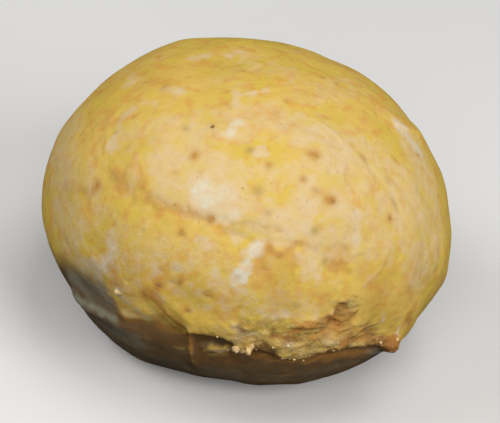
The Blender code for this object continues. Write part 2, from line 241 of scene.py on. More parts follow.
# The pale floury film, and the stronger places in it.
FLOUR = (
    # the pale film over the crown, in broad patches
    Stroke(((-40, 47), (-26, 56), (-8, 62), (14, 63), (34, 60)), 6, 5, 0.36),
    Stroke(((36, 54), (52, 44), (60, 32), (62, 18)), 8, 7, 0.4),
    Stroke(((84, 38), (76, 28), (68, 16), (60, 10)), 5, 6, 0.4),
    Stroke(((-130, 76), (-100, 82), (100, 84)), 3.4, 5, 0.3),
    Stroke(((50, 74), (80, 70), (104, 62)), 5, 6, 0.26),
    Stroke(((10, 60), (16, 53), (15, 46)), 3, 5, 0.22),
    Stroke(((-62, 71), (-40, 75)), 3.4, 5, 0.22),
    Stroke(((-45, 35), (-40, 31), (-38, 27)), 1.4, 3, 0.36),
    Stroke(((-56, 24), (-50, 20), (-45, 17)), 3, 5, 0.32),
    Stroke(((-55, 36), (-50, 44), (-40, 54)), 3.4, 5, 0.3),
    Stroke(((-33, 40), (-20, 42), (-8, 42)), 5, 3.4, 0.46),
    Stroke(((-8, 43), (6, 44), (18, 46), (28, 46)), 3.6, 4, 0.32),
    Stroke(((-27, 34), (-12, 34), (2, 33), (14, 30)), 4.4, 3, 0.44),
    Stroke(((13, 31), (18, 35), (22, 41)), 3.6, 3, 0.52),
    Stroke(((24, 58), (40, 58), (46, 52), (36, 48)), 3, 3, 0.52),
    Stroke(((26, 42), (34, 36), (33, 28), (24, 26)), 5, 4, 0.42),
    Stroke(((36, 40), (46, 32), (46, 22), (38, 24)), 4, 5, 0.36),
    Stroke(((-84, 20), (-66, 15), (-54, 7)), 6, 8, 0.4),
    Stroke(((-34, 12), (-18, 15), (0, 13)), 7, 8, 0.27),
    Stroke(((4, 9), (16, 9), (23, 8)), 3.4, 5, 0.3),
    # flour, thickest first
    Stroke(((-17, 36.8), (-12.4, 35.6), (-8, 36.4)), 2.8, 3.4, 0.92),
    Stroke(((-15.6, 34), (-10, 31.8), (-5.6, 32.2)), 2.5, 3.4, 0.86),
    Stroke(((5.3, 25.4), (4, 22.6), (2.9, 20.4), (0.4, 14.4)), 1.45, 1.5, 1.02),
    Stroke(((-14.6, 59.4), (-16.6, 54.4)), 1.5, 2.2, 0.86),
    Stroke(((-14.6, 59.4), (-22, 66), (-29.5, 70.6)), 1, 1.8, 0.5),
    Stroke(((-29.5, 70.6), (-18, 74), (-4, 77.4)), 0.9, 1.5, 0.5),
    Stroke(((-104, 63), (-110, 66)), 1.6, 2.4, 0.48),
    Stroke(((-134, 73), (-124, 73.6)), 1.5, 2.2, 0.48),
    Stroke(((-90, 45), (-86, 46)), 1.8, 2.4, 0.46),
    Stroke(((-68, 57), (-62, 58.6)), 1.6, 2.6, 0.46),
    Stroke(((-60, 50), (-66.4, 46.5), (-64.8, 41.2), (-58, 34.4)), 1, 2, 0.5),
    Stroke(((-58.8, 35), (-57, 33.4)), 1.4, 1.6, 0.56),
    Stroke(((88, 45), (86.6, 40.6), (85.8, 36.6)), 1.9, 1.6, 0.92),
    Stroke(((82.5, 32.6), (76.7, 30.3)), 1, 1.8, 0.5),
    Stroke(((0.4, 51.6), (2.4, 52.8)), 1.2, 1.5, 0.64),
    Stroke(((22.8, 44.6), (25.4, 43.4)), 1.1, 1.6, 0.6),
    Stroke(((19.8, 38), (21, 37)), 1.3, 1.8, 0.62),
    Stroke(((19.8, 31.6), (20.6, 28.6)), 1.4, 1.9, 0.6),
    Stroke(((31, 36), (32, 34.8)), 0.9, 1.4, 0.5),
    Stroke(((37.4, 32.4), (35.8, 25.6)), 1.3, 1.6, 0.7),
    Stroke(((57.7, 34.7), (54.6, 31.1)), 0.8, 1.4, 0.48),
    Stroke(((-12.4, 22.8), (-10, 22.6)), 1.2, 1.8, 0.52),
    Stroke(((-6.6, 18.6), (-5, 15)), 1, 1.5, 0.56),
    Stroke(((-1.6, 26.2), (0.4, 27.4)), 1.3, 1.6, 0.46),
    Stroke(((0.7, 13.4), (2.4, 11.2)), 1.4, 2, 0.44),
    Stroke(((17.4, 23.6), (20.8, 21.4), (22.4, 17.4), (19.4, 18.2)), 1.5, 1.8, 0.54),
    Stroke(((34.8, 21.6), (41, 23), (48, 21.6), (44, 17), (37.2, 13.2)), 0.6, 1, 0.32),
    Stroke(((-22.6, 12.2), (-21.6, 11.4)), 1.2, 1.8, 0.48),
    Stroke(((-17.4, 14.6), (-16, 13.8)), 1.1, 1.8, 0.46),
    Stroke(((-19.4, 5.2), (-18.2, 4.6)), 0.7, 1.2, 0.52),
    # the pale, greenish skin at the front left
    Stroke(((-38, 14.4), (-37, 13.4)), 1.1, 2, 0.62),
    Stroke(((-38, 13), (-36.6, 9.8), (-35.8, 7.4)), 1.3, 3.2, 0.66),
    Stroke(((-36.4, 7.6), (-39.6, 4.2), (-40, 1)), 1.8, 3.2, 0.8),
    Stroke(((-50, 3), (-43, 1.8)), 1.6, 4, 0.5),
    Stroke(((-32.4, -0.8), (-31.2, -0.2)), 1.1, 1.3, 1.3),
    Stroke(((-31, 1), (-28, -3), (-25, -6)), 3, 4, 0.36),
    Stroke(((-29.4, -6), (-26.8, -6.4), (-24, -6)), 0.7, 1.4, 0.34),
    Stroke(((-4, -0.4), (1, -0.6), (5, -0.4)), 1.2, 2, 0.36),
    # among the crags of the front
    Stroke(((9, 6.4), (13.5, 7), (18, 6.6)), 1.3, 3, 0.42),
    Stroke(((2.6, 2), (3.4, 0.6)), 0.6, 1.2, 0.6),
    Stroke(((4.7, -0.4), (8.3, 0.4), (10.4, 0.2)), 0.35, 0.8, 0.7),
    Stroke(((16.8, -2.6), (18, -2.6)), 0.5, 0.7, 0.8),
    Stroke(((27.4, -2.4), (31.4, -2.8)), 1, 1, 0.6),
    Stroke(((-4.8, -11.9), (-1.3, -11.2), (1.8, -9.4)), 0.5, 0.8, 0.9),
    Stroke(((46, 1.8), (46.6, -0.6)), 0.7, 0.8, 0.9),
    Stroke(((41, -2.4), (41.8, -2.8)), 0.6, 0.8, 0.8),
    Stroke(((28.2, 7.2), (29, 4.6)), 0.5, 0.7, 0.7),
    Stroke(((46, -6.8), (46.8, -7.4)), 0.7, 0.8, 0.85),
    Stroke(((52.4, -8), (53, -5.5)), 0.5, 0.7, 0.9),
)

# Where the lower front is more finely mottled than the rest.
MOTTLED = (
    Stroke(((-40, 6), (-28, 6), (-16, 7), (-4, 7), (8, 8)), 7, 7, 1),
    Stroke(((14, 14), (28, 14), (42, 12)), 6, 8, 0.6),
    Stroke(((-30, -5), (-20, -4), (-13, -5)), 3, 3, 1),
)

# Deep yellow to orange brown, where the skin is thin or stands out.
BROWNING = (
    Stroke(((-44, 26.6), (-36, 27), (-28, 28), (-20, 29.2)), 1.2, 2.4, 0.36),
    Stroke(((-24, 28.6), (-18, 29), (-10, 28.8)), 0.8, 1.8, 0.42),
    Stroke(((-10, 28.6), (-2.5, 27), (4.6, 25.8)), 0.3, 1.2, 0.26),
    Stroke(((-51, 29), (-46, 28), (-43.6, 27.4)), 1.2, 2.2, 0.32),
    Stroke(((-64, 14), (-54, 19.3), (-47, 22.8)), 1, 2.4, 0.32),
    Stroke(((8.2, 24.4), (11.6, 23.2), (16.6, 25.4)), 0.8, 1.4, 0.52),
    Stroke(((7.6, 24), (7, 19.6)), 0.6, 1.4, 0.42),
    Stroke(((15.8, 25), (16, 18)), 0.7, 1.4, 0.4),
    Stroke(((7.6, 20.6), (12.6, 19.4), (12.4, 12)), 2.8, 3.4, 0.28),
    Stroke(((28, 20), (31, 19.4), (33, 17.4)), 1.2, 1.8, 0.5),
    Stroke(((38.6, 16.4), (44, 11.4), (42.6, 7)), 2.6, 3.4, 0.32),
    Stroke(((54.6, 6.5), (56.4, 3.6)), 1.2, 1.8, 0.36),
    Stroke(((56.6, -3.4), (58.6, -5)), 0.9, 1.6, 0.6),
    Stroke(((-96, 46), (-84, 50), (-72, 56)), 3.2, 5, 0.24),
    Stroke(((-95, 66), (-92, 73), (-80, 78)), 2.8, 5, 0.24),
    Stroke(((-95, 62), (-80, 70), (-60, 80), (30, 84), (55, 76)), 4.5, 6, 0.16),
    Stroke(((-100, 36), (-84, 40), (-72, 32)), 4, 6, 0.18),
    Stroke(((-28, 9), (-20, 6.6), (-13, 6), (-8, 2)), 2.8, 4.4, 0.24),
    Stroke(((-33.8, 5.2), (-32.4, 3.8)), 1.6, 2, 0.44),
    Stroke(((-22.4, 6.6), (-19.6, 3.4), (-17, 0.2), (-12.6, -2.2), (-9.4, -3.2)), 0.8, 1.4, 0.55),
    Stroke(((-10, -3.4), (-9.2, -7), (-8.6, -11)), 0.5, 0.8, 0.7),
    Stroke(((-30, -8.6), (-24, -7.6), (-19.6, -6.6)), 0.5, 1.4, 0.5),
    Stroke(((-19.4, -6.4), (-16, -7.2), (-12.6, -6.6)), 1.6, 2.4, 0.42),
    Stroke(((24.6, 4.4), (30.6, 6.2), (34.2, 4.6), (33, 1.6), (28, 1)), 1.2, 2, 0.5),
    Stroke(((19.4, 3.2), (21.6, 4), (23.8, 3.6)), 0.9, 0.9, 0.72),
    Stroke(((16.6, 0.8), (18.6, 1.8), (19.6, 2.6)), 0.6, 0.8, 0.8),
    Stroke(((28.4, 3.6), (30.4, 2.6)), 1.1, 1.2, 0.7),
    Stroke(((30, 6.2), (31.6, 7.4)), 1.1, 1.4, 0.42),
    Stroke(((12.6, -0.4), (14.6, -0.8), (16.8, -1)), 0.6, 0.8, 0.62),
    Stroke(((25, 0.4), (33, 0), (40, -1.4)), 1.4, 2, 0.42),
    Stroke(((33, -3.4), (37, -4), (41, -4.6)), 0.9, 1.2, 0.6),
    Stroke(((49.4, -8.4), (51.6, -10.6), (53, -13)), 1.7, 1, 0.9),
    Stroke(((-33.6, -5), (-32.6, -6.4), (-31.2, -9.4)), 0.4, 1.2, 0.3),
    Stroke(((8, -8.4), (15, -10), (21.5, -11.4), (29, -10.2), (37, -10.8), (46, -12.8)), 1.8, 2.4, 0.47),
    Stroke(((38, -2), (43, -4.4), (47.4, -7.2)), 1.2, 1.6, 0.5),
    Stroke(((42, 3), (48, 0), (51, -4.6)), 2.2, 3, 0.24),
)

# Soft orange and brown spots in the skin.
SPOTS = (
    Mark(-25.4, 44.8, 1, 1.2, 0.9), Mark(-50.7, 36.2, 0.9, 0.9, 0.45),
    Mark(-10.4, 29.6, 0.9, 1.1, 0.85), Mark(-28.4, 37.9, 0.6, 0.6, 0.4),
    Mark(-50.6, 23, 1.1, 1.1, 0.85), Mark(-31.9, 28.6, 0.8, 0.6, 0.5),
    Mark(-54, 19.3, 1.1, 0.7, 0.5), Mark(-72.4, 55.3, 1.3, 1.1, 0.5),
    Mark(-90.9, 71.2, 1.3, 1, 0.5), Mark(26.6, 51.6, 1.5, 1.1, 0.95, -10),
    Mark(29, 37.6, 1.4, 1.1, 1), Mark(6, 47.9, 0.9, 0.9, 0.8), Mark(20, 44, 0.9, 0.9, 0.85),
    Mark(50.7, 28.5, 0.8, 1, 0.7), Mark(52.1, 47.1, 0.5, 1.3, 0.4),
    Mark(67.3, 41.3, 0.7, 0.7, 0.6), Mark(82.9, 36.1, 0.8, 0.8, 0.5),
    Mark(48.2, 63.6, 0.9, 0.8, 0.45), Mark(50.8, 51.7, 0.6, 1, 0.4),
    Mark(8.7, 24.8, 0.8, 1, 0.85, 30), Mark(11.8, 22.9, 1.2, 0.7, 0.85),
    Mark(7.5, 19.9, 0.7, 1, 0.65, 20), Mark(17.8, 26.2, 1, 0.6, 0.6, -20),
    Mark(-23.1, 4.2, 1.1, 1.1, 0.9), Mark(-6.4, 9.6, 1.4, 0.8, 0.8),
    Mark(-14.3, 10.8, 0.7, 1.1, 0.75), Mark(-17.8, 23.9, 0.8, 0.9, 0.9, 30),
    Mark(-10.9, 3.3, 0.9, 0.7, 0.75), Mark(-5.4, 26.8, 0.9, 0.5, 0.5, -20),
    Mark(-20, 7.9, 1.4, 1.1, 0.75), Mark(32.3, 24.2, 0.9, 0.7, 0.45),
    Mark(45.3, 17.6, 1, 0.9, 0.45), Mark(30.8, 8.2, 1.2, 1, 0.7), Mark(32.6, 3.8, 1, 1, 0.5),
)
# Soft spots of an olive grey, from bran under the skin.
GREY_SPOTS = (
    Mark(-3.5, 51.8, 1, 0.9, 0.85, 20), Mark(-36.8, 50.8, 0.9, 0.7, 0.6),
    Mark(-46.4, 27.7, 1.8, 1.2, 0.35), Mark(2.8, 39.9, 1.1, 1, 0.75, 30),
    Mark(7.1, 33.9, 0.8, 0.8, 0.55), Mark(22.6, 29.6, 0.8, 0.8, 0.8),
    Mark(24.6, 40.6, 1.1, 0.7, 0.5, -30), Mark(25.7, 21, 0.9, 0.8, 0.8),
    Mark(51.7, 46.8, 0.6, 1.5, 0.7), Mark(55, 31.6, 0.6, 1.6, 0.65),
    Mark(56.5, 38.2, 0.6, 0.9, 0.4), Mark(17.6, 9.6, 0.8, 0.7, 0.5),
    Mark(-10.4, 8.4, 0.9, 0.7, 0.35),
)
SCATTERED_SPOTS = 130
LEAST_SPOT, MOST_SPOT = 0.4, 1.1
SPOT_STRENGTHS = (0.15, 0.6)
SPOT_SEED = 47
FLAKE_STAIN_SIZE = 0.6  # of the flake's
PALEST_FLAKE_STAIN, FLAKE_STAIN_BY_TONE = 0.2, 0.5

# Where the crumb shows through, torn and rough.
TORN_RIM = ((3, -4), (10, -5.6), (14, -6.6), (21.5, -7.4), (29, -5.6), (36, -6), (45, -7.6), (51, -11))
TORN = (
    Stroke(TORN_RIM, 1.4, 1.4, 1),
    Stroke(((6, -1.6), (12, -2), (20, -2.4), (30, -1.2), (42, -4)), 2.8, 2.6, 0.72),
    Stroke(((-3, -0.4), (4, -1.2)), 1.6, 2, 0.36),
    Stroke(((4, 1.4), (14, 1.6), (24, 2.6), (30, 4.6), (32, 8)), 2.2, 2.4, 0.5),
    Stroke(((26, 2.6), (30, 4.6), (32.6, 7.6)), 2.2, 1.8, 0.9),
    Stroke(((40, 1), (46, -1), (50, -5)), 1.6, 2.4, 0.2),
    Stroke(((2, -5), (5, -6.4)), 1.2, 1.2, 1),
)
# Strands and folds of the golden skin that reach down over the underside.
STRANDS = (
    Stroke(((-9.8, -3), (-9, -8), (-8.4, -12)), 0.25, 0.6, 0.65),
    Stroke(((-8.4, -12), (-7.6, -17), (-7.2, -21)), 0.1, 0.5, 0.4),
    Stroke(((-4.8, -11.2), (-1.3, -10.6), (1.8, -9)), 0.7, 0.8, 1.2),
    Stroke(((-3.4, -13.6), (1.6, -12)), 0.3, 0.6, 0.45),
    Stroke(((-15.6, -13.6), (-10.9, -12.3)), 0.2, 0.7, 0.3),
)
# Where the solid's rim is only a soft bend.
SOFT_BEND = (
    Stroke(((-84, -13), (-70, -12), (-60, -9), (-53, -5), (-46, -4), (-40, -4), (-36, -4)), 6, 5, 1),
    Stroke(((-44, -1.6), (-34, -2), (-27, 3), (-22, 3.6), (-17, 0.6), (-13.4, -2)), 2.4, 3.2, 0.85),
)
# Deep brown painted shade: recesses, pits, the nub's shaded side, the lowest torn band, and the band
# under the rim, partly baked.
SHADED = (
    Stroke(((-7, -5), (-6.8, -10), (-6, -14.6)), 1, 1, 0.95),
    Stroke(((-6.4, -8), (-6, -13), (-2, -14.6), (3, -12.6)), 0.9, 1.4, 0.6),
    Stroke(((-6.4, -14.4), (-3, -15.4), (1.4, -14), (3.6, -11.4)), 0.9, 1.6, 0.75),
    Stroke(((-6, -16), (0, -17), (8, -13.6)), 1.4, 3.2, 0.5),
    Stroke(((2.4, -1.4), (5, -1.6), (9, -1.4)), 1.2, 2.2, 0.32),
    Stroke(((-6, -5.4), (-2.4, -4.4), (1.4, -6)), 0.5, 0.9, 0.6),
    Stroke(((1.8, -8), (2.6, -11)), 0.6, 1, 0.7),
    Stroke(((6.6, -7.4), (9, -8.2), (12, -7.6), (15, -9)), 1.3, 1.6, 0.62),
    Stroke(((7.6, -4.2), (10.4, -3.9), (13.4, -5)), 1, 1.2, 0.85),
    Stroke(((48, -8.6), (49.8, -11.2)), 1.5, 1.6, 0.5),
    Stroke(((40, 1.4), (45, -1), (49, -5)), 2.2, 3, 0.15),
    Stroke(((42.6, -6.6), (46, -8.4), (48, -10.6)), 0.9, 1.6, 0.35),
    Stroke(((14, -3.4), (21, -4.6), (29, -3.6), (37, -4.8), (45, -6.2)), 0.9, 2.8, 0.18),
    Stroke(((15, -5.8), (21.5, -7.4), (27, -5.8)), 1, 2.2, 0.34),
    Stroke(((-20, -8), (-13, -8.4)), 1, 3, 0.3),
    Stroke(((-13, -1.4), (-4, -0.8), (2, -1.2), (6, -1.4)), 1.9, 3, 0.22),
    Stroke(((9, -6), (14, -8.6), (21.5, -10.6), (29, -9), (38, -9.6), (46, -11.2)), 0.7, 1.6, 0.3),
    Stroke(((-30.6, -11), (-24, -10.2), (-19, -10), (-15, -11.4), (-11, -9.4)), 0.9, 2, 0.6),
    Stroke(((-46, -7), (-41.6, -8.6), (-37.4, -8.6), (-34.8, -8.2)), 1.5, 2, 0.45),
    Stroke(((3.9, 1.6), (4.4, 0.8)), 0.6, 1, 0.55),
    Stroke(((12.2, 0), (13, -0.5)), 0.6, 0.9, 0.65),
    Stroke(((28.4, 3.6), (29.8, 2.8)), 0.4, 0.7, 0.3),
    Stroke(((30.1, 6.6), (30.6, 6.1)), 0.3, 0.7, 0.5),
    Stroke(((31.4, 8.1), (31.9, 7.6)), 0.3, 0.7, 0.5),
    Stroke(((33.2, 3.4), (34.4, 2)), 0.4, 0.8, 0.6),
    Stroke(((24.6, 4), (25.6, 3.4)), 0.35, 0.7, 0.6),
    Stroke(((16.8, -1.2), (18.6, -1.4), (21, -1.2)), 0.3, 0.7, 0.55),
    Stroke(((8, 3.6), (10.4, 4.6), (14, 4.4)), 0.25, 0.7, 0.4),
    Stroke(((41.4, -2.6), (43.8, -4.4)), 0.7, 1.2, 0.5),
    Stroke(((46.4, -8.8), (47.6, -6.4)), 0.4, 0.8, 0.5),
)
FLOURED_UNDERSIDE = (
    Stroke(((-52, -15), (-46, -14), (-39, -11.8), (-33, -10.8)), 1, 3.4, 0.95),
    Stroke(((-52, 1), (-44, 1), (-38, 1)), 2.6, 4, 0.7),
    Stroke(((-50, -7.4), (-43, -7), (-37, -5.6)), 3.4, 4, 0.66),
    Stroke(((-33, -13.6), (-28, -14.4)), 1.8, 3.4, 0.55),
    Stroke(((46.4, -12.4), (49, -13.6), (53, -15)), 1.2, 1.8, 0.95),
    Stroke(((-58, -19), (-46, -18), (-36, -17), (-27, -16.4)), 3.6, 6, 0.5),
    Stroke(((-60, -26), (-46, -26), (-30, -24), (-14, -25), (4, -24)), 4.6, 6, 0.34),
    Stroke(((10, -24), (30, -20), (46, -16)), 3, 5, 0.28),
)


def cube_skin(cells):
    """The points and squares of a cube's skin, from -1 to 1, with this many cells to a side."""
    steps = np.arange(cells + 1)
    first, second = np.meshgrid(steps, steps, indexing="ij")
    sides = []
    for axis in range(3):
        for far in (0, 1):
            side = np.empty((cells + 1, cells + 1, 3), int)
            side[..., axis] = far * cells
            side[..., (axis + 1) % 3] = first if far else second
            side[..., (axis + 2) % 3] = second if far else first
            sides.append(side.reshape(-1, 3))
    points, index = np.unique(np.concatenate(sides), axis=0, return_inverse=True)
    index = index.reshape(6, cells + 1, cells + 1)
    corners = (index[:, :-1, :-1], index[:, 1:, :-1], index[:, 1:, 1:], index[:, :-1, 1:])
    return points * 2 / cells - 1, np.stack(corners, axis=-1).reshape(-1, 4)


def ball_ways(points):
    """Unit vectors through a cube's points, evened out and crowded towards the front."""
    even = np.tan(points * math.pi / 4)
    even /= np.linalg.norm(even, axis=1)[:, None]
    ways = even + direction(CROWD_AZIMUTH, CROWD_ELEVATION) * CROWDING
    return ways / np.linalg.norm(ways, axis=1)[:, None]


def surface_tree(thing):
    corners = [vertex.co for vertex in thing.data.vertices]
    return BVHTree.FromPolygons(corners, [face.vertices for face in thing.data.polygons])


def reach_of(tree, ways):
    """How far a surface reaches from the middle along each way, in mm."""
    hits = (tree.ray_cast(RING_MIDDLE, Vector(way))[3] for way in ways)
    return np.array(list(hits)) / MM


def eased(values, squares, rounds):
    """Values brought towards the mean of their neighbours' on the skin."""
    first = squares.ravel()
    second = np.roll(squares, -1, axis=1).ravel()
    count = len(values)
    neighbours = np.bincount(first, minlength=count)
    for _ in range(rounds):
        total = np.bincount(first, values[second], count)
        values = (values + total / neighbours) / 2
    return values


def line_at(line, azimuths):
    """A line's elevation and its other value at each azimuth, eased between its rows."""
    rows = np.array(line)
    place = np.clip(np.searchsorted(rows[:, 0], azimuths), 1, len(rows) - 1)
    first, last = rows[place - 1], rows[place]
    share = smooth_step((azimuths - first[:, 0]) / (last[:, 0] - first[:, 0]))[:, None]
    between = first + (last - first) * share
    return between[:, 1], between[:, 2]


def below_rim(ways):
    """How far each place lies below the rim, in mm, and how sharp the rim is there."""
    rim, sharpness = line_at(RIM, azimuth_of(ways))
    below = np.radians(rim - elevation_of(ways)) * MIDDLE_REACH
    return below + sharpness * rough(ways, RAGGED_EDGE), sharpness


def below_skin(ways, wobble):
    """How far each place is past the golden skin's edge, from 0 on the skin to 1."""
    edge, softness = line_at(SKIN_EDGE, azimuth_of(ways))
    below = np.radians(edge - elevation_of(ways)) * MIDDLE_REACH
    return smooth_step((below + SKIN_EDGE_WOBBLE * wobble) / softness + 0.5)


def bump_relief(ways, torn, wobble):
    """The crust's relief in mm, besides the lip."""
    relief = marked(ways, FINE_MARKS) + creased(ways, FINE_CREASES)
    relief += painted(ways, UPPER_SKIN, wobble)
    relief += sum(rough(ways, wave) for wave in WAVES)
    pores = rough(ways, PORES) - PORES_FROM * PORES.reach
    relief -= np.maximum(pores, 0) * (1 - torn)
    knobs = np.abs(rough(ways, KNOBS, TORN_STRETCH)) - KNOBS_SINK
    return relief + torn * (knobs + rough(ways, GRIT, TORN_STRETCH))


def lip_relief(below, sharpness):
    """The thin lip along the rim, and the notch it hangs over."""
    lip = np.exp(-(((below + LIP_WIDTH) / LIP_WIDTH) ** 2))
    notch = np.exp(-(((below - LIP_WIDTH) / LIP_WIDTH) ** 2))
    return LIP_RISE * sharpness * (lip - notch)


def lip_droop(below, sharpness):
    """How far the lip hangs down over the notch, in mm."""
    return LIP_DROOP * sharpness * np.exp(-(((below + LIP_WIDTH / 2) / DROOP_WIDTH) ** 2))


def new_mesh(name, places, faces, fields):
    """A smooth mesh of numpy places in metres, with its fields as named attributes."""
    mesh = bpy.data.meshes.new(name)
    mesh.from_pydata(places.tolist(), [], faces.tolist())
    for label, values in fields.items():
        attribute = mesh.attributes.new(label, "FLOAT", "POINT")
        attribute.data.foreach_set("value", np.asarray(values, np.float32))
    mesh.shade_smooth()
    piece = bpy.data.objects.new(name, mesh)
    bpy.context.scene.collection.objects.link(piece)
    return piece


def scattered_ways(draw, count):
    """Unit vectors at random, evenly all round."""
    ways = draw.normal(size=(count, 3))
    return ways / np.linalg.norm(ways, axis=1)[:, None]


def stain_marks():
    """The named spots, one round each named flake, and smaller and fainter ones all over."""
    draw = np.random.default_rng(SPOT_SEED)
    ways = scattered_ways(draw, SCATTERED_SPOTS)
    marks = list(SPOTS)
    for flake in NAMED_FLAKES:
        size = flake.size * FLAKE_STAIN_SIZE
        strength = PALEST_FLAKE_STAIN + FLAKE_STAIN_BY_TONE * flake.tone
        marks.append(Mark(flake.azimuth, flake.elevation, size, size, strength))
    for azimuth, elevation in zip(azimuth_of(ways), elevation_of(ways)):
        length, width = draw.uniform(LEAST_SPOT, MOST_SPOT, 2)
        marks.append(Mark(azimuth, elevation, length, width, draw.uniform(*SPOT_STRENGTHS)))
    return marks


def floury_film(ways, wobble):
    """How pale and floury the skin is at each place, 0 to 1."""
    broad = sum(rough(ways, kind) for kind in FILM_NOISE)
    film = LEAST_FILM + FILM_RANGE * smooth_step(broad + 0.5)
    return np.maximum(film, painted(ways, FLOUR, wobble))


def crust_fields(ways, relief, torn, squares, wobble):
    """What the crust's material reads at each place."""
    underside = below_skin(ways, wobble) * (1 - painted(ways, STRANDS, wobble))
    floured = painted(ways, FLOURED_UNDERSIDE, wobble)
    # Painted shade: the relief's dents, below their neighbours' mean, are darkened to deep brown.
    hollow_shade = eased(relief, squares, HOLLOW_ROUNDS) - relief
    return {
        "flour": floury_film(ways, wobble) * (1 - underside) + floured * underside,
        "mottled": painted(ways, MOTTLED, wobble),
        "browning": painted(ways, BROWNING, wobble),
        "torn": torn,
        "hollow_shade": np.clip(hollow_shade * HOLLOW_GAIN, -1, 1),
        "underside": underside,
        "shaded": painted(ways, SHADED, wobble),
        "stained": marked(ways, stain_marks()),
        "greyed": marked(ways, GREY_SPOTS),
    }


def crust_skin(node):
    """The solid's surface as a fine skin, with relief and all that its material reads."""
    points, squares = cube_skin(CELLS_PER_SIDE)
    ways = ball_ways(points)
    reach = eased(reach_of(surface_tree(node), ways), squares, EASING_ROUNDS)
    reach += (eased(reach, squares, BEND_ROUNDS) - reach) * painted(ways, SOFT_BEND, 0)
    wobble = sum(rough(ways, kind) for kind in EDGE_NOISE)
    torn = painted(ways, TORN, wobble)
    below, sharpness = below_rim(ways)
    relief = bump_relief(ways, torn, wobble)
    height = RING_MIDDLE.z / MM + ways[:, 2] * reach
    free = smooth_step(height / BASE_MARGIN)
    out = reach + (relief + lip_relief(below, sharpness)) * free
    places = np.array(RING_MIDDLE) + ways * out[:, None] * MM
    places[:, 2] -= lip_droop(below, sharpness) * free * MM
    places[:, 2] = np.maximum(places[:, 2], 0)
    fields = crust_fields(ways, relief, torn, squares, wobble)
    return new_mesh("roll_crust", places, squares, fields)


# ---- Bran flakes, pressed into the skin, and crumbs ----

# tone runs from 0, ochre, to 1, dark brown
NAMED_FLAKES = (
    Flake(-25.8, 55.3, 1.1, 1), Flake(30.1, 37.2, 1.3, 0.8), Flake(28.3, 50.6, 1.1, 0.4),
    Flake(-19.8, 7.8, 1.4, 1), Flake(-72.8, 80.7, 1, 0.58), Flake(-22.7, 30, 0.8, 0.43),
    Flake(-10.6, 29.2, 0.9, 0.29), Flake(-24.9, 44.3, 0.8, 0.14), Flake(-50.6, 23, 0.9, 0.43),
    Flake(-17.6, 23.6, 0.8, 0.22), Flake(-23, 4, 1, 0.36), Flake(-14.3, 10.8, 0.9, 0.4),
    Flake(-6.4, 9.4, 1, 0.25), Flake(-10.9, 3.3, 0.9, 0.43), Flake(11.6, 22.9, 0.8, 0.25),
    Flake(3.5, 2.4, 0.8, 0.58), Flake(50.6, 28.6, 0.9, 0.36), Flake(82.9, 36.1, 0.8, 0.36),
)
SCATTERED_FLAKES = 150
LEAST_FLAKE, MOST_FLAKE = 0.25, 0.7
FEW_LARGE_FLAKES = 2.2  # the power that makes the large ones rare
MOST_SCATTERED_TONE, FEW_DARK_FLAKES = 0.4, 1.5
LOWEST_FLAKE = -0.1  # the height of its way on the unit ball: the underside has none
FLAKE_SIDES = 9
CORNER_SHIFT = 0.25  # of the angle between two corners
SLIMNESS = (0.35, 0.9)
UNEVENNESS = (0.6, 1.2)
FLAKE_CAP = 0.7  # the share of its width up to where it is bevelled
FLAKE_THICKNESS, FLAKE_ROOT = 0.025, 0.16
NOT_OUTWARD = (0.3, 0.2, 1.0)  # a direction that no flake's way has
FLAKE_SEED = 41

NAMED_CRUMBS = (
    Crumb(-1.8, -2.4, 0.5, 0.8), Crumb(5, -8.8, 0.5, 0.5), Crumb(13.1, -3.4, 0.5, 0.7),
    Crumb(17.1, -2.9, 0.6, 0.9), Crumb(16.3, -7.2, 0.5, 0.8), Crumb(19.6, -7.6, 0.6, 0.8),
    Crumb(22, -8.8, 0.8, 0.9), Crumb(30.8, -6.1, 0.6, 0.8), Crumb(52.5, -8.3, 0.7, 1),
    Crumb(46.6, -7.7, 0.7, 0.7), Crumb(-32, -0.3, 1.2, 0.8), Crumb(-31, -0.1, 0.8, 0.55),
    Crumb(3.6, -4.6, 1.9, 0.56), Crumb(4.4, -6, 1.9, 0.56), Crumb(3.9, -7.4, 1.5, 0.5),
    Crumb(5.4, -5.2, 1.6, 0.46), Crumb(6.9, -4.8, 1.7, 0.5), Crumb(7.2, -5.9, 1.2, 0.46),
    Crumb(7.6, -3.6, 1.2, 0.42), Crumb(3.2, -9, 0.8, 0.2), Crumb(1.6, -9.4, 0.6, 0.2),
    Crumb(23.9, -11.5, 0.5, 0.9), Crumb(21, -9.8, 0.4, 0.6),
)
RIM_CRUMBS = 34
CRUMB_AZIMUTHS = (3, 53)
CRUMB_SPREAD = 1.3
LEAST_CRUMB, MOST_CRUMB = 0.22, 0.5
FEW_LARGE_CRUMBS = 2.5
PALEST_RIM_CRUMB = 0.3
CRUMB_CELLS = 6
CRUMB_KNOB_SIZE, CRUMB_KNOBS = 0.7, 0.45  # of its radius
KNOB_SEEDS = (0, 90)
CRUMB_STRETCH = (0.7, 1.1)
CRUMB_SUNK = 0.52  # the share of its size by which a crumb sits in the crust
CRUMB_SEED = 43


def set_on(tree, way):
    """The place on the crust along a way from the middle, and which way the crust faces there."""
    place, facing, _, _ = tree.ray_cast(RING_MIDDLE, Vector(way))
    return np.array(place), np.array(facing)


